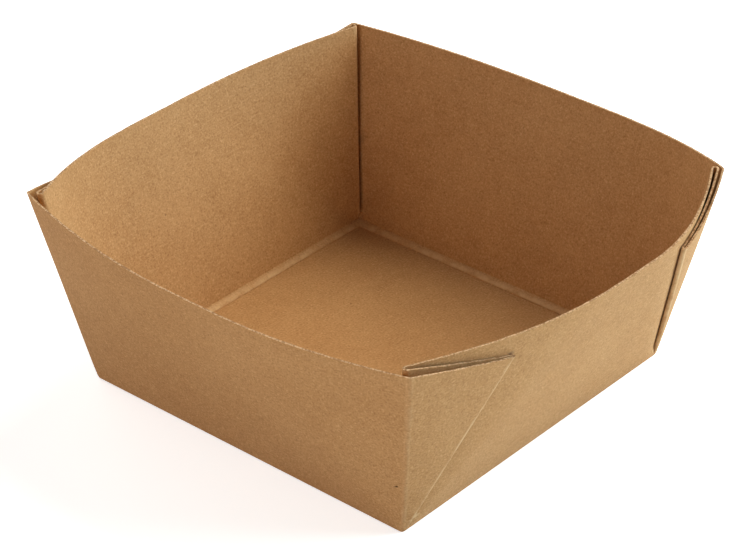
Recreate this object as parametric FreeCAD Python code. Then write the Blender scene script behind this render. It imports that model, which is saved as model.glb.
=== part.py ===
# Open tray of brown solid board, folded from one sheet. Its square floor carries four walls that
# lean and bow outwards. Each corner keeps the board between two walls whole: that web is pleated
# and lies against the outside of the left or the right wall, as a gusset of two plies.
import FreeCAD
import Part
import math
import os
from FreeCAD import Vector

# Driving sizes in millimetres: the sheet and its floor
base_side = 100.0  # outside of the floor, from crease to crease
board = 0.5  # thickness of the sheet
crease_radius = 0.9  # outside rounding of the fold between floor and wall
crease_bead = 1.3  # width and height of the bulge that this fold leaves inside
base_corner_ease = 0.6  # the floor's corners, seen from above, are rounder by this

# Walls, on their outside. The rim is one straight cut in the sheet, so it keeps its distance
# from the base crease and dips where the wall bows out.
wall_slant = 55.0  # from base crease to rim along the slope
front_left_flare = 10.1  # how far each top corner stands out past the floor, along X and along Y
front_right_flare = 11.2
back_left_flare = 10.6
back_right_flare = 9.8
front_bow = 17.8  # how far the fullest part of each rim stands out past the floor
back_bow = 19.3
left_bow = 18.7
right_bow = 20.4
front_crown = 2.0  # where that part lies: along X on the front and back walls
back_crown = 8.0
left_crown = -6.0  # and along Y on the left and right walls
right_crown = 11.0
flat_run = 14.0  # length of the straight middle of a rim

# Corner gussets
front_gusset_angle = 33.0  # between the corner crease and the pleat, on the sheet
back_gusset_angle = 29.5
pleat_length = 52.8  # from the floor's corner to the gusset's tip
corner_round = 0.6  # length that the rounding of a top corner takes from each side
front_mouth_gap = 2.0  # between a gusset's two plies at the top corner
back_mouth_gap = 0.8
loop_gap = 0.9  # between the inner ply and the side wall at the top corner
tip_gap = 0.2  # the same two gaps at the gusset's tip
foot_gap = 0.12  # and at the foot, where all the creases meet
loop_inset = 0.8  # from the front or back wall's inside to the inner ply's fold, at the top
foot_bulge = 0.35  # how far the stacked plies push the corner out at the foot
foot_height = 4.0  # below it the plies are pressed together as one
foot_spread = 8.0  # run of the bent foot along each side, from a corner to the plain wall

half = base_side / 2
stack_foot = 2 * board + 2 * foot_gap
crease_top = crease_radius + board  # height at which the fold has become the flat wall
crease_facets = [0, 18, 36, 54, 70]  # degrees round the fold at which its facets meet
base_corner_radius = crease_radius + base_corner_ease
apex = Vector(half, -half, 0)  # floor's corner, where the creases of the front right corner meet
samples = 8  # stretches of a rim between the points that its curve runs through
foot_shares = [0.1, 0.22, 0.3]  # where the fold lines end on the base crease, corner to middle

# Corners by their side along X and along Y, and walls by how far and where their rims stand out
corners = {
    (-1, -1): {"side": "left", "across": "front", "flare": front_left_flare},
    (1, -1): {"side": "right", "across": "front", "flare": front_right_flare},
    (-1, 1): {"side": "left", "across": "back", "flare": back_left_flare},
    (1, 1): {"side": "right", "across": "back", "flare": back_right_flare},
}
walls = {
    "front": {"bow": front_bow, "crown": front_crown},
    "back": {"bow": back_bow, "crown": back_crown},
    "left": {"bow": left_bow, "crown": left_crown},
    "right": {"bow": right_bow, "crown": right_crown},
}
gussets = {
    "front": {"angle": front_gusset_angle, "mouth": front_mouth_gap},
    "back": {"angle": back_gusset_angle, "mouth": back_mouth_gap},
}

# straight middles: the two corners that each one joins, and 0 across or 1 along the side walls
middles = [((-1, -1), (1, -1), 0), ((-1, 1), (1, 1), 0), ((-1, -1), (-1, 1), 1), ((1, -1), (1, 1), 1)]


def wall_end(name, mirror, flare, inset):
    # one end of a wall in the right wall's frame, with the corner at -Y: it stands inset by its gusset
    wall = walls[name]
    return {"bow": wall["bow"], "end": flare - inset, "reach": half + flare, "inset": inset,
            "flat": wall["crown"] * mirror - flat_run / 2}


def rim_sample(wall, along):
    # outer rim: its point, its level normal and how much the lean thickens the board there
    share = max(0.0, (wall["flat"] - along) / (wall["flat"] + wall["reach"]))
    rise = wall["bow"] - wall["end"]
    out = wall["bow"] - rise * share ** 2
    slope = 2 * rise * share / (wall["flat"] + wall["reach"])
    point = Vector(half + out, along, math.sqrt(wall_slant ** 2 - out ** 2))
    return {"point": point, "normal": Vector(1, -slope, 0).normalize(), "lean": wall_slant / point.z}


def even(start, end):
    return [start + (end - start) * i / samples for i in range(samples + 1)]


def foot_sample(bend, along):
    # the side wall's foot, bent like its rim: its point and its level normal
    run = bend["flat"].y - bend["end"].y
    share = max(0.0, (bend["flat"].y - along) / run)
    rise = bend["flat"].x - bend["end"].x
    point = Vector(bend["flat"].x - rise * share ** 2, along, foot_height)
    return {"point": point, "normal": Vector(1, -2 * rise * share / run, 0).normalize()}


def bent_foot(bend, start, end):
    return [foot_sample(bend, along) for along in even(start, end)]


def straight_foot(start, end):
    run = end - start
    normal = Vector(run.y, -run.x, 0).normalize()
    return [{"point": point, "normal": normal} for point in (start, end)]


def at_foot(point, height):
    # where the straight line from the floor's corner to a point passes a height
    return apex + (point - apex) * (height / point.z)


def stretch(wall, feet, start, end):
    # part of a wall's outside, from its foot up to its rim: both are given at even steps
    rim = [rim_sample(wall, along) for along in even(start, end)]
    step = samples // (len(feet) - 1)
    return {
        "foot": [f["point"] for f in feet],
        "foot_normals": [f["normal"] for f in feet],
        "foot_leans": [r["lean"] for r in rim[::step]],
        "top": [r["point"] for r in rim],
        "normals": [r["normal"] for r in rim],
        "leans": [r["lean"] for r in rim],
    }


def cut_lower(run, start_height, tip_height):
    # the same stretch, ended by a cut that is straight on the sheet, from one height to another
    low, rims = run["foot"], run["top"]
    first = (start_height - foot_height) / (rims[0].z - foot_height)
    last = (tip_height - foot_height) / (rims[-1].z - foot_height)
    y_first = low[0].y + first * (rims[0].y - low[0].y)
    y_last = low[-1].y + last * (rims[-1].y - low[-1].y)
    slope = (last - first) / (y_last - y_first)
    top = []
    for foot, rim in zip(low, rims):
        share = (first + slope * (foot.y - y_first)) / (1 - slope * (rim.y - foot.y))
        top.append(foot + (rim - foot) * share)
    return dict(run, top=top)


def face_of(run, boards, foot_gaps=0, mouth_gap=0.0, loops=0):
    # one face of the board, so many boards and gaps outside the outer face of the side wall
    foot, top = [], []
    for point, normal, lean in zip(run["foot"], run["foot_normals"], run["foot_leans"]):
        foot.append(point + normal * (boards * board * lean + foot_gaps * foot_gap))
    for i, point in enumerate(run["top"]):
        left = 1 - i / samples
        space = loops * (tip_gap + (loop_gap - tip_gap) * left ** 2)
        if mouth_gap:
            space += tip_gap + (mouth_gap - tip_gap) * left
        top.append(point + run["normals"][i] * (boards * board * run["leans"][i] + space))
    return {"kind": "curve", "foot": foot, "top": top}


def across_corner(face):
    # carries a face from the right wall's frame to the front wall's
    return dict(face, foot=[Vector(-p.y, -p.x, p.z) for p in face["foot"]],
                top=[Vector(-p.y, -p.x, p.z) for p in face["top"]])


def crossing(a, b):
    # where two runs meet that are both drawn from their ends at the corner
    run_a, run_b, gap = a[1] - a[0], b[1] - b[0], b[0] - a[0]
    reach = (gap.x * run_b.y - gap.y * run_b.x) / (run_a.x * run_b.y - run_a.y * run_b.x)
    return Vector(a[0].x + run_a.x * reach, a[0].y + run_a.y * reach, (a[0].z + b[0].z) / 2)


def corner_turn(a, b):
    return {"kind": "bend", "foot": [a["foot"][0], crossing(a["foot"], b["foot"]), b["foot"][0]],
            "top": [a["top"][0], crossing(a["top"], b["top"]), b["top"][0]]}


def fold_points(start, end, forward):
    bulge = Vector(forward.x, forward.y, 0).normalize() * ((end - start).Length / 2)
    return [start, (start + end) / 2 + bulge, end]


def half_turn(a, b, at_end):
    # fold of 180 degrees from face a to face b, past their last points or ahead of their first
    fold = {"kind": "arc"}
    for level in ("foot", "top"):
        p, q = a[level], b[level]
        if at_end:
            fold[level] = fold_points(p[-1], q[-1], p[-1] - p[-2])
        else:
            fold[level] = fold_points(p[0], q[0], p[0] - p[1])
    return fold


def plain_foot(wall, corner_y):
    # where the wall's flat middle starts at the foot, so far from the corner
    return Vector(at_foot(rim_sample(wall, wall["flat"])["point"], foot_height).x,
                  corner_y + foot_spread, foot_height)


def loop_reach(gap):
    # how far the fold between inner ply and side wall stands out past their ends
    return board + gap / 2


def side_runs(wall, corner_foot, corner_height, gusset):
    # the side wall near the front right corner and the two plies outside it
    loop_foot = Vector(corner_foot.x - stack_foot, corner_foot.y, foot_height)
    loop_foot.y += board + foot_gap + loop_reach(foot_gap)
    bend = {"flat": plain_foot(wall, corner_foot.y), "end": loop_foot}

    corner_slope = math.pi / 2 + math.atan((wall["reach"] - half) / wall_slant)
    pleat_slope = corner_slope - math.radians(gusset["angle"])
    pleat_rim = -half + wall_slant / math.tan(pleat_slope)
    tip_share = pleat_length * math.sin(pleat_slope) / wall_slant
    tip = apex + (rim_sample(wall, pleat_rim)["point"] - apex) * tip_share
    pleat_foot = at_foot(tip, foot_height).y

    # the outer ply starts where its outside leaves the corner's rounding
    ply_foot = corner_foot.y + corner_round
    ply_foot -= stack_foot * foot_sample(bend, ply_foot)["normal"].y
    ply_rim = corner_round - wall["reach"]
    ply_rim -= wall["inset"] * rim_sample(wall, ply_rim)["normal"].y
    loop_rim = -wall["reach"] + board + loop_inset + loop_reach(loop_gap)

    near = stretch(wall, bent_foot(bend, loop_foot.y, pleat_foot), loop_rim, pleat_rim)
    outer = stretch(wall, bent_foot(bend, ply_foot, pleat_foot), ply_rim, pleat_rim)
    return {
        "outer": cut_lower(outer, corner_height, tip.z),
        "inner": cut_lower(near, near["top"][0].z, tip.z),
        "near": near,
        "far": stretch(wall, bent_foot(bend, pleat_foot, bend["flat"].y), pleat_rim, wall["flat"]),
    }


def corner_runs(corner, x_side, y_side):
    # stretches of board at a corner, mirrored to the front right
    flare = corner["flare"]
    height = math.sqrt(wall_slant ** 2 - flare ** 2)
    corner_foot = at_foot(Vector(half + flare, -half - flare, height), foot_height)
    corner_foot.x += foot_bulge
    gusset = gussets[corner["across"]]
    side = wall_end(corner["side"], -y_side, flare, 2 * board + gusset["mouth"] + loop_gap)
    across = wall_end(corner["across"], -x_side, flare, 0)
    runs = side_runs(side, corner_foot, height, gusset)

    start_foot = Vector(-corner_foot.y, corner_round - corner_foot.x, foot_height)
    runs["front"] = stretch(across, straight_foot(start_foot, plain_foot(across, -corner_foot.x)),
                            corner_round - across["reach"], across["flat"])
    return runs


def corner_faces(runs, mouth):
    # the sheet's outer and inner face round the corner
    outside = {
        "front": across_corner(face_of(runs["front"], 0)),
        "outer_ply": face_of(runs["outer"], 2, 2, mouth, 1),
        "inner_ply": face_of(runs["inner"], 0, 1, 0, 1),
        "near": face_of(runs["near"], 0),
        "far": face_of(runs["far"], 0),
    }
    inside = {
        "front": across_corner(face_of(runs["front"], -1)),
        "outer_ply": face_of(runs["outer"], 1, 2, mouth, 1),
        "inner_ply": face_of(runs["inner"], 1, 1, 0, 1),
        "near": face_of(runs["near"], -1),
        "far": face_of(runs["far"], -1),
    }
    for face in (outside, inside):
        face["turn"] = corner_turn(face["front"], face["outer_ply"])
        face["pleat"] = half_turn(face["outer_ply"], face["inner_ply"], True)
        face["loop"] = half_turn(face["inner_ply"], face["near"], False)
    return outside, inside


def placed(face, x_side, y_side):
    # mirrors a corner's face from the front right to its own corner
    moved = {}
    for name, part in face.items():
        moved[name] = {"kind": part["kind"]}
        for level in ("foot", "top"):
            moved[name][level] = [Vector(x_side * p.x, -y_side * p.y, p.z) for p in part[level]]
    return moved


def line(a, b):
    return Part.LineSegment(a, b).toShape()


def edge(kind, points):
    if kind == "arc":
        return Part.Arc(*points).toShape()
    if kind == "bend":
        bend = Part.BezierCurve()
        bend.setPoles(points)
        return bend.toShape()
    if len(points) == 2:
        return line(*points)
    spline = Part.BSplineCurve()
    spline.interpolate(Points=points, Parameters=[i / samples for i in range(samples + 1)])
    return spline.toShape()


def foot_edge(part):
    return edge(part["kind"], part["foot"])


def top_edge(part):
    return edge(part["kind"], part["top"])


def ruled(a, b):
    # the last value keeps both edges in their own direction
    return Part.makeRuledSurface(a, b, 1)


def closed_solid(faces):
    shell = Part.makeShell(faces)
    shell.sewShape(0.001)
    solid = Part.makeSolid(shell)
    if solid.Volume < 0:
        solid.reverse()
    return solid


def outline(edges):
    return Part.Wire(Part.__sortEdges__(edges))


def stacked(levels):
    # solid through level outlines, lowest first, whose edges match one by one
    faces = [Part.Face(outline(levels[0])), Part.Face(outline(levels[-1]))]
    for lower, upper in zip(levels, levels[1:]):
        faces += [ruled(a, b) for a, b in zip(lower, upper)]
    return closed_solid(faces)


def sheet_faces():
    # both faces of the sheet all round: every part of the four corners and the straight middles
    pairs = {}
    outside, inside = [], []
    for (x_side, y_side), corner in corners.items():
        faces = corner_faces(corner_runs(corner, x_side, y_side), gussets[corner["across"]]["mouth"])
        pairs[x_side, y_side] = [placed(face, x_side, y_side) for face in faces]
        outside += list(pairs[x_side, y_side][0].values())
        inside += list(pairs[x_side, y_side][1].values())
    for skin, parts in enumerate((outside, inside)):
        for start, end, kind in middles:
            name = ("front", "far")[kind]
            a, b = pairs[start][skin][name], pairs[end][skin][name]
            parts.append({"kind": "curve", "foot": [a["foot"][-1], b["foot"][-1]],
                          "top": [a["top"][-1], b["top"][-1]]})
    return pairs, outside, inside


def folded_walls(outside, inside):
    # the upright sheet above the foot, a closed band of even thickness with all its folds
    faces = []
    for out_part, in_part in zip(outside, inside):
        faces.append(ruled(foot_edge(out_part), top_edge(out_part)))
        faces.append(ruled(foot_edge(in_part), top_edge(in_part)))
        faces.append(ruled(top_edge(out_part), top_edge(in_part)))
    rings = [outline([foot_edge(part) for part in parts]) for parts in (outside, inside)]
    faces.append(Part.makeFace(rings, "Part::FaceMakerBullseye"))
    return closed_solid(faces)


def wall_place(name, height):
    # level distance from the middle of the floor to a wall's outside, on its straight middle
    out = walls[name]["bow"]
    return half + out * height / math.sqrt(wall_slant ** 2 - out ** 2)


def inner_place(name, height):
    out = walls[name]["bow"]
    return wall_place(name, height) - board * wall_slant / math.sqrt(wall_slant ** 2 - out ** 2)


def fold_place(name, height):
    # the same with the rounding of the fold between floor and wall
    lean = math.asin(walls[name]["bow"] / wall_slant)
    end = crease_radius * (1 - math.sin(lean))
    if height >= end:
        return wall_place(name, height)
    level = math.sqrt(crease_radius ** 2 - (crease_radius - height) ** 2)
    return wall_place(name, end) - crease_radius * math.cos(lean) + level


def base_bend(place, height):
    # rounded corner of the floor, from the front or back side to the left or right one
    x_side, y_side = place
    side, across = corners[place]["side"], corners[place]["across"]
    x, y = fold_place(side, height), fold_place(across, height)
    x_end = wall_place(side, crease_top) - base_corner_radius
    y_end = wall_place(across, crease_top) - base_corner_radius
    points = [(x_end, y), (x, y), (x, y_end)]
    return [Vector(x_side * a, y_side * b, height) for a, b in points]


def rounded_base(height):
    # outline of the floor's outside at a height: four corner bends joined by straight sides
    bends = {place: base_bend(place, height) for place in corners}
    edges = [edge("bend", bend) for bend in bends.values()]
    for start, end, kind in middles:
        edges.append(line(bends[start][2 * kind], bends[end][2 * kind]))
    return edges


def joined_middles(ends):
    # edges of the straight middles at two levels: each corner gives the ends of its four stretches
    lower = [line(ends[a][kind], ends[b][kind]) for a, b, kind in middles]
    upper = [line(ends[a][kind + 2], ends[b][kind + 2]) for a, b, kind in middles]
    return lower, upper


def foot_outlines(pairs):
    # matching edges round the pressed foot: on top of the rounded fold, and where the plies part
    lower, upper, ends = [], [], {}
    spread = foot_spread * crease_top / foot_height
    for (x_side, y_side), (outer, inner) in pairs.items():
        bend = base_bend((x_side, y_side), crease_top)
        front_far = bend[0] - Vector(x_side * spread, 0, 0)
        far = bend[2] - Vector(0, y_side * spread, 0)
        along = [bend[2] + (far - bend[2]) * share for share in [0] + foot_shares + [1]]
        lower += [line(bend[0], front_far), edge("bend", bend)]
        lower += [line(a, b) for a, b in zip(along, along[1:])]
        upper += [foot_edge(outer[name]) for name in ("front", "turn", "outer_ply", "pleat")]
        upper += [line(outer["inner_ply"]["foot"][-1], outer["near"]["foot"][-1]), foot_edge(outer["far"])]
        ends[x_side, y_side] = (front_far, far, outer["front"]["foot"][-1], outer["far"]["foot"][-1])
    lower_middles, upper_middles = joined_middles(ends)
    return lower + lower_middles, upper + upper_middles


def hollow_outlines(pairs):
    # matching edges round the inside, on top of the fold's bulge and where the plies part
    lower, upper, ends = [], [], {}
    height = board + crease_bead
    spread = foot_spread * height / foot_height
    for (x_side, y_side), (outer, inner) in pairs.items():
        corner = corners[x_side, y_side]
        x, y = inner_place(corner["side"], height), inner_place(corner["across"], height)
        point = Vector(x_side * x, y_side * y, height)
        front_far = point - Vector(x_side * spread, 0, 0)
        far = point - Vector(0, y_side * spread, 0)
        meet = crossing(inner["front"]["foot"], inner["near"]["foot"])
        turns = [meet, inner["near"]["foot"][0], inner["near"]["foot"][-1], inner["far"]["foot"][-1]]
        shares = [(turn.y - meet.y) / (turns[-1].y - meet.y) for turn in turns]
        along = [point + (far - point) * share for share in shares]
        lower += [line(front_far, point)] + [line(a, b) for a, b in zip(along, along[1:])]
        upper += [line(inner["front"]["foot"][-1], meet), line(meet, turns[1])]
        upper += [foot_edge(inner[name]) for name in ("near", "far")]
        ends[x_side, y_side] = (front_far, far, inner["front"]["foot"][-1], inner["far"]["foot"][-1])
    lower_middles, upper_middles = joined_middles(ends)
    return lower + lower_middles, upper + upper_middles


def inner_rectangle(height, inset):
    # outline of the inside at a height, as four straight edges
    x = (-inner_place("left", height) + inset, inner_place("right", height) - inset)
    y = (-inner_place("front", height) + inset, inner_place("back", height) - inset)
    points = [Vector(x[0], y[0], height), Vector(x[1], y[0], height),
              Vector(x[1], y[1], height), Vector(x[0], y[1], height)]
    return [line(a, b) for a, b in zip(points, points[1:] + points[:1])]


def floor_dish(pairs):
    # floor, the rounded folds round it and the pressed foot of the walls
    rounding = [crease_radius * (1 - math.cos(math.radians(angle))) for angle in crease_facets]
    base = stacked([rounded_base(height) for height in rounding + [crease_top]])
    foot = stacked(foot_outlines(pairs))
    bead = stacked([inner_rectangle(board, crease_bead), inner_rectangle(board + crease_bead, 0)])
    hollow = stacked(hollow_outlines(pairs))
    return base.fuse(foot).cut(bead.fuse(hollow))


def tray():
    pairs, outside, inside = sheet_faces()
    whole = floor_dish(pairs).fuse(folded_walls(outside, inside))
    # the tray stands centred over its origin, which the unequal bows would shift
    whole.translate(Vector((left_bow - right_bow) / 2, (front_bow - back_bow) / 2, 0))
    return whole


def write(name, shape):
    os.makedirs("parts", exist_ok=True)
    solid = shape.Solids[0] if len(shape.Solids) == 1 else shape
    solid.exportStep("parts/" + name + ".step")
    print(name, "solids", len(shape.Solids), "valid", solid.isValid(),
          "volume", round(solid.Volume, 1), "box", solid.BoundBox)


write("tray", tray())
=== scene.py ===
import math

import bmesh
import bpy
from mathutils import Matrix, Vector, kdtree, noise


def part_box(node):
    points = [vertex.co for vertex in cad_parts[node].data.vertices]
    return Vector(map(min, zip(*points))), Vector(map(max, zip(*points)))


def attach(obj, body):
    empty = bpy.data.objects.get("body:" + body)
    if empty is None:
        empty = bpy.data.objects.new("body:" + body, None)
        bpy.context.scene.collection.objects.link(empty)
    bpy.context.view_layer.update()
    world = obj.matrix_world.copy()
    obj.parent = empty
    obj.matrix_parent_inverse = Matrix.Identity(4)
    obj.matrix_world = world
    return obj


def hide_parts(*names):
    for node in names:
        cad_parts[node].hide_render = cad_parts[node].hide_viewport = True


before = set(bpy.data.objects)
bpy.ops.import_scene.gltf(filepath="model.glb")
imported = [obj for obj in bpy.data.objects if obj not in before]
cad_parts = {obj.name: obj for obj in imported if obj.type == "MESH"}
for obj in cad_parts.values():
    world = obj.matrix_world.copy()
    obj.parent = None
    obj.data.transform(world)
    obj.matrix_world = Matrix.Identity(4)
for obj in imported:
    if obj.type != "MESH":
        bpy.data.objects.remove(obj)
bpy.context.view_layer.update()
mm = 0.001


# camera
cameraView = {
    "azimuth": 40.61,  # degrees round the tray, from the front wall towards the right one
    "elevation": 31.69,
    "distance": 676.6 * mm,
    "target": Vector((21.15, -27.45, 47.8)) * mm,
    "lens": 138.5,
    "sensor": 36,
    "nearest": 0.01,
    "farthest": 20,
}


def addCamera():
    azimuth, elevation = math.radians(cameraView["azimuth"]), math.radians(cameraView["elevation"])
    back = Vector((math.sin(azimuth) * math.cos(elevation),
                   -math.cos(azimuth) * math.cos(elevation), math.sin(elevation)))
    data = bpy.data.cameras.new("photoCamera")
    data.lens = cameraView["lens"]
    data.sensor_width = cameraView["sensor"]
    data.clip_start = cameraView["nearest"]
    data.clip_end = cameraView["farthest"]
    camera = bpy.data.objects.new("photoCamera", data)
    camera.location = cameraView["target"] + back * cameraView["distance"]
    camera.rotation_euler = (-back).to_track_quat("-Z", "Y").to_euler()
    bpy.context.collection.objects.link(camera)
    bpy.context.scene.camera = camera


# light: soft boxes behind and on the right, a low cool one that brightens the right wall's outside,
# and weak ones on the left and in front
softBoxes = {  # azimuth 0 is +X, 90 is +Y
    "backBox": {"azimuth": 90, "elevation": 50, "watts": 10.4, "colour": (1.0, 0.96, 0.82)},
    "rightBox": {"azimuth": 40, "elevation": 30, "watts": 8.0, "colour": (1.0, 0.96, 0.82)},
    "lowBox": {"azimuth": 45, "elevation": 12, "watts": 14.0, "colour": (0.42, 0.74, 1.0)},
    "leftBox": {"azimuth": 180, "elevation": 50, "watts": 3.4, "colour": (1.0, 0.97, 0.9)},
    "frontBox": {"azimuth": -90, "elevation": 12, "watts": 6.3, "colour": (1.0, 0.95, 0.93)},
}
boxStand = {"size": 0.75, "away": 1.2, "aim": Vector((0, 0, 0.03))}
surroundings = {"fill": 0.02, "colour": (1.0, 1.0, 1.0, 1)}  # seen directly, they are plain white


def addLights():
    for name, box in softBoxes.items():
        azimuth, elevation = math.radians(box["azimuth"]), math.radians(box["elevation"])
        way = Vector((math.cos(azimuth) * math.cos(elevation),
                      math.sin(azimuth) * math.cos(elevation), math.sin(elevation)))
        data = bpy.data.lights.new(name, "AREA")
        data.shape = "SQUARE"
        data.size = boxStand["size"]
        data.energy = box["watts"]
        data.color = box["colour"]
        lamp = bpy.data.objects.new(name, data)
        lamp.location = boxStand["aim"] + way * boxStand["away"]
        lamp.rotation_euler = (-way).to_track_quat("-Z", "Y").to_euler()
        bpy.context.collection.objects.link(lamp)


def combine(nodes, links, operation, a, b):
    node = nodes.new("ShaderNodeMath")
    node.operation = operation
    links.new(a, node.inputs[0])
    links.new(b, node.inputs[1])
    return node.outputs[0]


def seenDirectly(nodes, links):
    # 1 where the camera, a reflection or a refraction looks straight at the surface
    path = nodes.new("ShaderNodeLightPath")
    either = combine(nodes, links, "MAXIMUM",
                     path.outputs["Is Camera Ray"], path.outputs["Is Glossy Ray"])
    return combine(nodes, links, "MAXIMUM", either, path.outputs["Is Transmission Ray"])


def addSurroundings():
    world = bpy.data.worlds.new("whiteRoom")
    bpy.context.scene.world = world
    world.use_nodes = True
    nodes, links = world.node_tree.nodes, world.node_tree.links
    nodes.clear()
    fill = nodes.new("ShaderNodeBackground")
    fill.inputs["Color"].default_value = surroundings["colour"]
    fill.inputs["Strength"].default_value = surroundings["fill"]
    white = nodes.new("ShaderNodeBackground")
    white.inputs["Color"].default_value = (1, 1, 1, 1)
    white.inputs["Strength"].default_value = 1
    mix = nodes.new("ShaderNodeMixShader")
    out = nodes.new("ShaderNodeOutputWorld")
    links.new(seenDirectly(nodes, links), mix.inputs[0])
    links.new(fill.outputs[0], mix.inputs[1])
    links.new(white.outputs[0], mix.inputs[2])
    links.new(mix.outputs[0], out.inputs["Surface"])


# table under the tray: white in the picture, with the tray's own shadow
tableTop = {
    "radius": 3.0,
    "sides": 64,
    "drop": 0.1 * mm,
    "colour": (0.86, 0.86, 0.86, 1),
    "lift": 0.7,  # glow of the table where it is seen directly
}


def addTable():
    bm = bmesh.new()
    bmesh.ops.create_circle(bm, cap_ends=True, segments=tableTop["sides"],
                            radius=tableTop["radius"])
    bmesh.ops.translate(bm, verts=bm.verts, vec=(0, 0, -tableTop["drop"]))
    mesh = bpy.data.meshes.new("tableTop")
    bm.to_mesh(mesh)
    bm.free()
    table = bpy.data.objects.new("tableTop", mesh)
    bpy.context.collection.objects.link(table)
    material = bpy.data.materials.new("whiteTable")
    material.use_nodes = True
    nodes, links = material.node_tree.nodes, material.node_tree.links
    nodes.clear()
    matt = nodes.new("ShaderNodeBsdfDiffuse")
    matt.inputs["Color"].default_value = tableTop["colour"]
    glow = nodes.new("ShaderNodeEmission")
    lift = nodes.new("ShaderNodeMath")
    lift.operation = "MULTIPLY"
    lift.inputs[1].default_value = tableTop["lift"]
    both = nodes.new("ShaderNodeAddShader")
    out = nodes.new("ShaderNodeOutputMaterial")
    links.new(seenDirectly(nodes, links), lift.inputs[0])
    links.new(lift.outputs[0], glow.inputs["Strength"])
    links.new(matt.outputs[0], both.inputs[0])
    links.new(glow.outputs[0], both.inputs[1])
    links.new(both.outputs[0], out.inputs["Surface"])
    mesh.materials.append(material)


# kraft board: mottle, fibres and specks in a node group of their own
kraftGrain = {  # the noises: scale per metre, detail and roughness
    "cloud": (38.0, 3, 0.55),  # soft blotches
    "mottle": (260.0, 3, 0.6),
    "grain": (1900.0, 2, 0.65),  # the board's pulp
    "fibre": (2600.0, 1, 0.5),
    "stretch": 6.0,  # how many times longer than wide a fibre is
    "turns": [(0.3, 0.2, 0.5), (0.9, -0.4, 1.7), (-0.5, 0.8, 2.6)],  # so that fibres lie all ways
    "strand": (0.62, 0.82),  # where a fibre starts to show, and shows in full
    "speck": 480.0,  # cells per metre
    "speckEdge": (0.13, 0.06),  # reach of a speck in its cell, and of its full dark
    "speckShare": 0.035,  # of the cells that hold a speck
}


def noiseAt(nodes, links, vector, scale, detail, roughness):
    node = nodes.new("ShaderNodeTexNoise")
    node.inputs["Scale"].default_value = scale
    node.inputs["Detail"].default_value = detail
    node.inputs["Roughness"].default_value = roughness
    links.new(vector, node.inputs["Vector"])
    return node.outputs["Fac"]


def ramp(nodes, links, value, low, high, toLow=0.0, toHigh=1.0):
    node = nodes.new("ShaderNodeMapRange")
    node.inputs["From Min"].default_value = low
    node.inputs["From Max"].default_value = high
    node.inputs["To Min"].default_value = toLow
    node.inputs["To Max"].default_value = toHigh
    links.new(value, node.inputs["Value"])
    return node.outputs["Result"]


def mixColour(nodes, links, factor, a, b):
    node = nodes.new("ShaderNodeMix")
    node.data_type = "RGBA"
    links.new(factor, node.inputs["Factor"])
    for name, value in (("A", a), ("B", b)):
        entry = next(s for s in node.inputs if s.name == name and s.type == "RGBA")
        if isinstance(value, tuple):
            entry.default_value = value
        else:
            links.new(value, entry)
    return next(s for s in node.outputs if s.type == "RGBA")


def makeGrainGroup():
    group = bpy.data.node_groups.new("kraftGrain", "ShaderNodeTree")
    group.interface.new_socket(name="Vector", in_out="INPUT", socket_type="NodeSocketVector")
    for name in ("Cloud", "Mottle", "Grain", "Fibre", "Speck"):
        group.interface.new_socket(name=name, in_out="OUTPUT", socket_type="NodeSocketFloat")
    nodes, links = group.nodes, group.links
    entry = nodes.new("NodeGroupInput")
    out = nodes.new("NodeGroupOutput")
    vector = entry.outputs["Vector"]
    for name in ("Cloud", "Mottle", "Grain"):
        links.new(noiseAt(nodes, links, vector, *kraftGrain[name.lower()]), out.inputs[name])
    # the same noise stretched along crossing ways: the strongest strand shows
    strongest = None
    for turn in kraftGrain["turns"]:
        mapping = nodes.new("ShaderNodeMapping")
        mapping.inputs["Rotation"].default_value = turn
        mapping.inputs["Scale"].default_value = (1, 1 / kraftGrain["stretch"], 1)
        links.new(vector, mapping.inputs["Vector"])
        strand = noiseAt(nodes, links, mapping.outputs[0], *kraftGrain["fibre"])
        if strongest is not None:
            strand = combine(nodes, links, "MAXIMUM", strongest, strand)
        strongest = strand
    links.new(ramp(nodes, links, strongest, *kraftGrain["strand"]), out.inputs["Fibre"])
    # specks in a few of the cells only
    flecks = nodes.new("ShaderNodeTexVoronoi")
    flecks.inputs["Scale"].default_value = kraftGrain["speck"]
    links.new(vector, flecks.inputs["Vector"])
    small = ramp(nodes, links, flecks.outputs["Distance"], *kraftGrain["speckEdge"])
    separate = nodes.new("ShaderNodeSeparateColor")
    links.new(flecks.outputs["Color"], separate.inputs[0])
    rare = ramp(nodes, links, separate.outputs[0], 1 - kraftGrain["speckShare"], 1.0)
    links.new(combine(nodes, links, "MULTIPLY", small, rare), out.inputs["Speck"])
    return group


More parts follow.
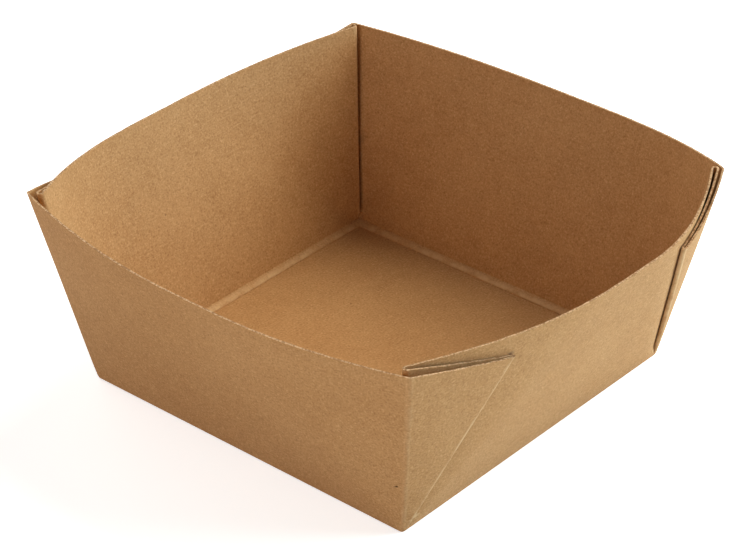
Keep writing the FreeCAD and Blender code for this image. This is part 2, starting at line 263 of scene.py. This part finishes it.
kraftBoard = {
    "base": (0.48, 0.246, 0.092, 1),
    "dark": (0.405, 0.198, 0.068, 1),
    "light": (0.535, 0.287, 0.115, 1),
    "grainDark": (0.30, 0.137, 0.043, 1),
    "grainLight": (0.66, 0.395, 0.18, 1),
    "speck": (0.12, 0.055, 0.025, 1),
    "layers": [  # what shows, from where, in full where, at most how much, in which colour
        ("Mottle", 0.38, 0.66, 0.55, "dark"),
        ("Cloud", 0.42, 0.7, 0.6, "light"),
        ("Grain", 0.47, 0.25, 0.85, "grainDark"),
        ("Grain", 0.53, 0.75, 0.75, "grainLight"),
        ("Fibre", 0, 1, 0.5, "grainLight"),
        ("Speck", 0, 1, 0.9, "speck"),
    ],
    "cutEdge": (0.64, 0.41, 0.23, 1),
    "cutShade": (0.30, 0.15, 0.06, 1),
    "cutMottle": (0.42, 0.58),  # grain that is all shade, and all edge colour
    "paleScuffAndHighlight": (0.70, 0.46, 0.24, 1),
    "paleScuffAndHighlightPatches": (0.38, 0.6, 0.25, 0.9),  # mottle from, to, and how much pale scuff with painted highlight at each
    # painted shade: the colour that faces beside a fold and in the gaps between plies darken to
    "shade": (0.10, 0.042, 0.015, 1),
    "shadeDepth": 0.85,
    "roughness": 0.78,
    "specular": 0.3,
    "relief": 0.02 * mm,
    "reliefStrength": 0.5,
}


def faceColour(nodes, links, values):
    colour = kraftBoard["base"]
    for name, low, high, most, tone in kraftBoard["layers"]:
        amount = ramp(nodes, links, values[name], low, high, 0, most)
        colour = mixColour(nodes, links, amount, colour, kraftBoard[tone])
    # the attribute holds pale wear with painted highlight above 0, and painted shade below 0
    fold = nodes.new("ShaderNodeAttribute")
    fold.attribute_name = "foldWearAndPaintedLight"
    wearAndPaintedLight = fold.outputs["Fac"]
    # pale scuff colour, partly wear and partly a painted highlight on the folds' rounding and the
    # bead
    patches = ramp(nodes, links, values["Mottle"], *kraftBoard["paleScuffAndHighlightPatches"])
    scuffAndHighlightAmount = combine(nodes, links, "MULTIPLY", ramp(nodes, links, wearAndPaintedLight, 0, 1), patches)
    colour = mixColour(nodes, links, scuffAndHighlightAmount, colour, kraftBoard["paleScuffAndHighlight"])
    # painted shade beside the folds
    shaded = ramp(nodes, links, wearAndPaintedLight, 0, -1, 0, kraftBoard["shadeDepth"])
    return mixColour(nodes, links, shaded, colour, kraftBoard["shade"])


def boardMaterial(name, grain, isEdge):
    material = bpy.data.materials.new(name)
    material.use_nodes = True
    nodes, links = material.node_tree.nodes, material.node_tree.links
    shader = nodes["Principled BSDF"]
    coordinates = nodes.new("ShaderNodeTexCoord")
    look = nodes.new("ShaderNodeGroup")
    look.node_tree = grain
    links.new(coordinates.outputs["Object"], look.inputs["Vector"])
    values = look.outputs
    if isEdge:
        pulp = ramp(nodes, links, values["Grain"], *kraftBoard["cutMottle"])
        colour = mixColour(nodes, links, pulp, kraftBoard["cutShade"], kraftBoard["cutEdge"])
        height = values["Grain"]
    else:
        colour = faceColour(nodes, links, values)
        height = combine(nodes, links, "ADD", values["Grain"], values["Fibre"])
    links.new(colour, shader.inputs["Base Color"])
    shader.inputs["Roughness"].default_value = kraftBoard["roughness"]
    shader.inputs["Specular IOR Level"].default_value = kraftBoard["specular"]
    bump = nodes.new("ShaderNodeBump")
    bump.inputs["Strength"].default_value = kraftBoard["reliefStrength"]
    bump.inputs["Distance"].default_value = kraftBoard["relief"]
    links.new(height, bump.inputs["Height"])
    links.new(bump.outputs["Normal"], shader.inputs["Normal"])
    return material


# tray: the imported solid's own surface, divided evenly, then worn and bent as handled board is,
# with painted highlights on the folds and the bead and painted shade beside the folds
foldedTray = {
    "mergeReach": 0.0001 * mm,  # vertices nearer than this are one
    "leastSide": 0.001 * mm,
    "flatAngle": math.radians(0.5),  # faces that meet flatter than this are one
    "slice": 4.0 * mm,  # spacing of the cuts that divide the faces
    "cutReach": 0.0002 * mm,
    "halvings": 6,  # at most, of an edge that is too long
    "rimSpan": 0.6 * mm,  # longest side on the cut edges
    "rimHeight": 30 * mm,  # every cut edge lies above this
    "rimFacing": 0.6,  # and looks up by more than this
    "floorTop": 0.5 * mm,
    "beadTop": 1.8 * mm,
    "beadFacing": (0.5, 0.9),  # how far up the faces of the bead look
    "beadRows": [0.04, 0.1, 0.18, 0.28, 0.4, 0.55, 0.75],  # cuts across the bead, floor to wall
    "bulge": 0.62 * mm,  # how far the bead along the inner folds rolls out
    "bulgeFade": 1.3,
    # painted highlight on the bead's roll, in the pale scuff colour
    "beadPaintedHighlight": 0.9,
    "beadHighlightSpread": 2.5,
    "wave": 0.25 * mm,
    "waveLength": 40 * mm,
    "waveHeight": 50 * mm,  # the board waves in full from here up
    "waveSeed": 7,  # without a seed the waves change with the clock
    "nick": 0.14 * mm,
    "nickLength": 0.9 * mm,
    "foldAngle": math.radians(6),
    "facetWidth": 0.35 * mm,  # facets narrower than this belong to a fold's rounding
    "foldsAbove": 1.8 * mm,
    "foldSpacing": 0.3 * mm,
    "foldFacing": 0.3,  # least cosine between a face and the fold it takes wear and painted highlight from; below minus this, facing the fold, it takes painted shade
    # reach of the pale wear with painted highlight from a fold
    "wearAndHighlightReach": 0.45 * mm,
    "shadeReach": 1.1 * mm,  # a face that looks at a fold from nearer is darkened with painted shade
    "wearAndShadeSpan": 0.3 * mm,  # longest side across the edge of the wear with painted highlight and of the painted shade
    "cornerLean": 0.3,  # on a corner x leads y by less than this share of the height
    "cornerWearAndHighlight": 0.3,  # of pale wear with painted highlight, against 1 on the pleats
    "sharpAngle": math.radians(35),
}


def isCut(face):
    return (face.normal.z > foldedTray["rimFacing"]
            and face.calc_center_median().z > foldedTray["rimHeight"])


def isBead(face):
    z = face.calc_center_median().z
    least, most = foldedTray["beadFacing"]
    return foldedTray["floorTop"] < z < foldedTray["beadTop"] and least < face.normal.z < most


def cleanCopy():
    bm = bmesh.new()
    bm.from_mesh(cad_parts["tray"].data)
    bm.verts.layers.float.new("foldWearAndPaintedLight")
    bmesh.ops.remove_doubles(bm, verts=bm.verts, dist=foldedTray["mergeReach"])
    bmesh.ops.dissolve_degenerate(bm, edges=bm.edges, dist=foldedTray["leastSide"])
    bmesh.ops.dissolve_limit(bm, angle_limit=foldedTray["flatAngle"],
                             verts=bm.verts, edges=bm.edges)
    return bm


def cutAcross(bm, place, way):
    geometry = bm.verts[:] + bm.edges[:] + bm.faces[:]
    bmesh.ops.bisect_plane(bm, geom=geometry, dist=foldedTray["cutReach"],
                           plane_co=place, plane_no=way)


def sliceAlong(bm, axis, start, end):
    way, place = Vector((0, 0, 0)), start + foldedTray["slice"] / 2
    way[axis] = 1
    while place < end:
        cutAcross(bm, way * place, way)
        place += foldedTray["slice"]


def sliceBeads(bm):
    beadHeight = foldedTray["beadTop"] - foldedTray["floorTop"]
    for share in foldedTray["beadRows"]:
        height = foldedTray["floorTop"] + beadHeight * share
        cutAcross(bm, Vector((0, 0, height)), Vector((0, 0, 1)))


def divide(bm, limit, wanted):
    for _ in range(foldedTray["halvings"]):
        longEdges = [edge for edge in bm.edges if edge.calc_length() > limit and wanted(edge)]
        bmesh.ops.subdivide_edges(bm, edges=longEdges, cuts=1)


def facetWidth(face):
    return face.calc_area() / max(side.calc_length() for side in face.edges)


def isFold(edge):
    # outside of a fold, between two narrow facets
    if edge.calc_face_angle_signed(0) < foldedTray["foldAngle"]:
        return False
    if min(point.co.z for point in edge.verts) < foldedTray["foldsAbove"]:
        return False
    return max(facetWidth(face) for face in edge.link_faces) <= foldedTray["facetWidth"]


def foldSpots(bm):
    # points along the outside of every upright fold, and the way each of them faces
    spots = []
    for edge in filter(isFold, bm.edges):
        a, b = (point.co for point in edge.verts)
        facing = (edge.link_faces[0].normal + edge.link_faces[1].normal).normalized()
        steps = max(1, int((b - a).length / foldedTray["foldSpacing"]))
        spots += [(a.lerp(b, i / steps), facing) for i in range(steps + 1)]
    tree = kdtree.KDTree(len(spots))
    for i, (spot, _) in enumerate(spots):
        tree.insert(spot, i)
    tree.balance()
    return tree, [facing for _, facing in spots]


def divideFolds(bm, folds):
    # shorter edges where the wear with painted highlight and the painted shade end, so that both
    # end close to the fold
    def leaves(edge):
        near, far = sorted(folds[0].find(point.co)[2] for point in edge.verts)
        return near < foldedTray["wearAndHighlightReach"] < far or near < foldedTray["shadeReach"] < far
    divide(bm, foldedTray["wearAndShadeSpan"], leaves)


def wearAndPaintedLightAt(point, facing, folds):
    # 1 on a pleat, less on a corner, 0 away from both: pale wear with painted highlight; below 0
    # the painted shade beside a fold
    tree, ways = folds
    spot, i, distance = tree.find(point)
    toward = ways[i].dot(facing)
    if toward < -foldedTray["foldFacing"] and (spot - point).dot(facing) > 0:
        return -max(0.0, 1 - distance / foldedTray["shadeReach"])
    if toward < foldedTray["foldFacing"] or distance > foldedTray["wearAndHighlightReach"]:
        return 0.0
    isCorner = abs(spot.x) - abs(spot.y) < foldedTray["cornerLean"] * spot.z
    strength = foldedTray["cornerWearAndHighlight"] if isCorner else 1.0
    return strength * (1 - distance / foldedTray["wearAndHighlightReach"])


def paintFoldWearAndLight(bm, folds):
    # wear with painted highlight on the folds, and painted shade on faces that look at a fold
    wearAndPaintedLight = bm.verts.layers.float["foldWearAndPaintedLight"]
    for point in bm.verts:
        point[wearAndPaintedLight] = wearAndPaintedLightAt(point.co, point.normal, folds)


def roundBeads(bm):
    # the bead rises steeply from the floor and runs out softly into the wall
    wearAndPaintedLight = bm.verts.layers.float["foldWearAndPaintedLight"]
    low, high = foldedTray["floorTop"], foldedTray["beadTop"]
    ways = {}
    for face in bm.faces:
        if isBead(face):
            for point in face.verts:
                ways[point] = ways.get(point, Vector()) + face.normal
    for point, way in ways.items():
        share = min(1.0, max(0.0, (point.co.z - low) / (high - low)))
        roll = math.sqrt(share) * (1 - share) ** foldedTray["bulgeFade"]
        point.co += way.normalized() * (foldedTray["bulge"] * roll)
        # painted highlight: the bead is painted pale where it rolls out most
        point[wearAndPaintedLight] = foldedTray["beadPaintedHighlight"] * min(1.0, foldedTray["beadHighlightSpread"] * roll)


def bendBoard(bm, rim):
    noise.seed_set(foldedTray["waveSeed"])
    for point in bm.verts:
        drift = noise.noise_vector(point.co / foldedTray["waveLength"])
        drift.z = 0
        share = min(1.0, point.co.z / foldedTray["waveHeight"])
        point.co += drift * (foldedTray["wave"] * share)
    for point in rim:
        point.co.z -= foldedTray["nick"] * abs(noise.noise(point.co / foldedTray["nickLength"]))


def makeTray():
    bm = cleanCopy()
    folds = foldSpots(bm)
    print("folds found")

    low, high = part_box("tray")
    for axis in range(3):
        sliceAlong(bm, axis, low[axis], high[axis])
    sliceBeads(bm)
    bm.normal_update()
    divide(bm, foldedTray["rimSpan"], lambda edge: isCut(edge.link_faces[0]))
    divideFolds(bm, folds)
    bm.normal_update()
    print("board divided")

    cut = {face for face in bm.faces if isCut(face)}
    rim = {point for face in cut for point in face.verts}
    paintFoldWearAndLight(bm, folds)
    roundBeads(bm)
    bendBoard(bm, rim)
    bm.normal_update()
    for face in bm.faces:
        face.smooth = True
        face.material_index = 1 if face in cut else 0
    for edge in bm.edges:
        edge.smooth = edge.calc_face_angle(0) < foldedTray["sharpAngle"]
    print("board worn and bent, triangles:", sum(len(face.verts) - 2 for face in bm.faces))

    mesh = bpy.data.meshes.new("foldedTray")
    bm.to_mesh(mesh)
    bm.free()
    piece = bpy.data.objects.new("foldedTray", mesh)
    bpy.context.collection.objects.link(piece)
    grain = makeGrainGroup()
    mesh.materials.append(boardMaterial("kraftFace", grain, False))
    mesh.materials.append(boardMaterial("kraftCutEdge", grain, True))
    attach(piece, "root")
    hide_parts("tray")


addCamera()
addLights()
addSurroundings()
addTable()
print("stage, lights and camera stand")
makeTray()
print("tray folded")

bpy.context.scene.view_settings.view_transform = "Standard"
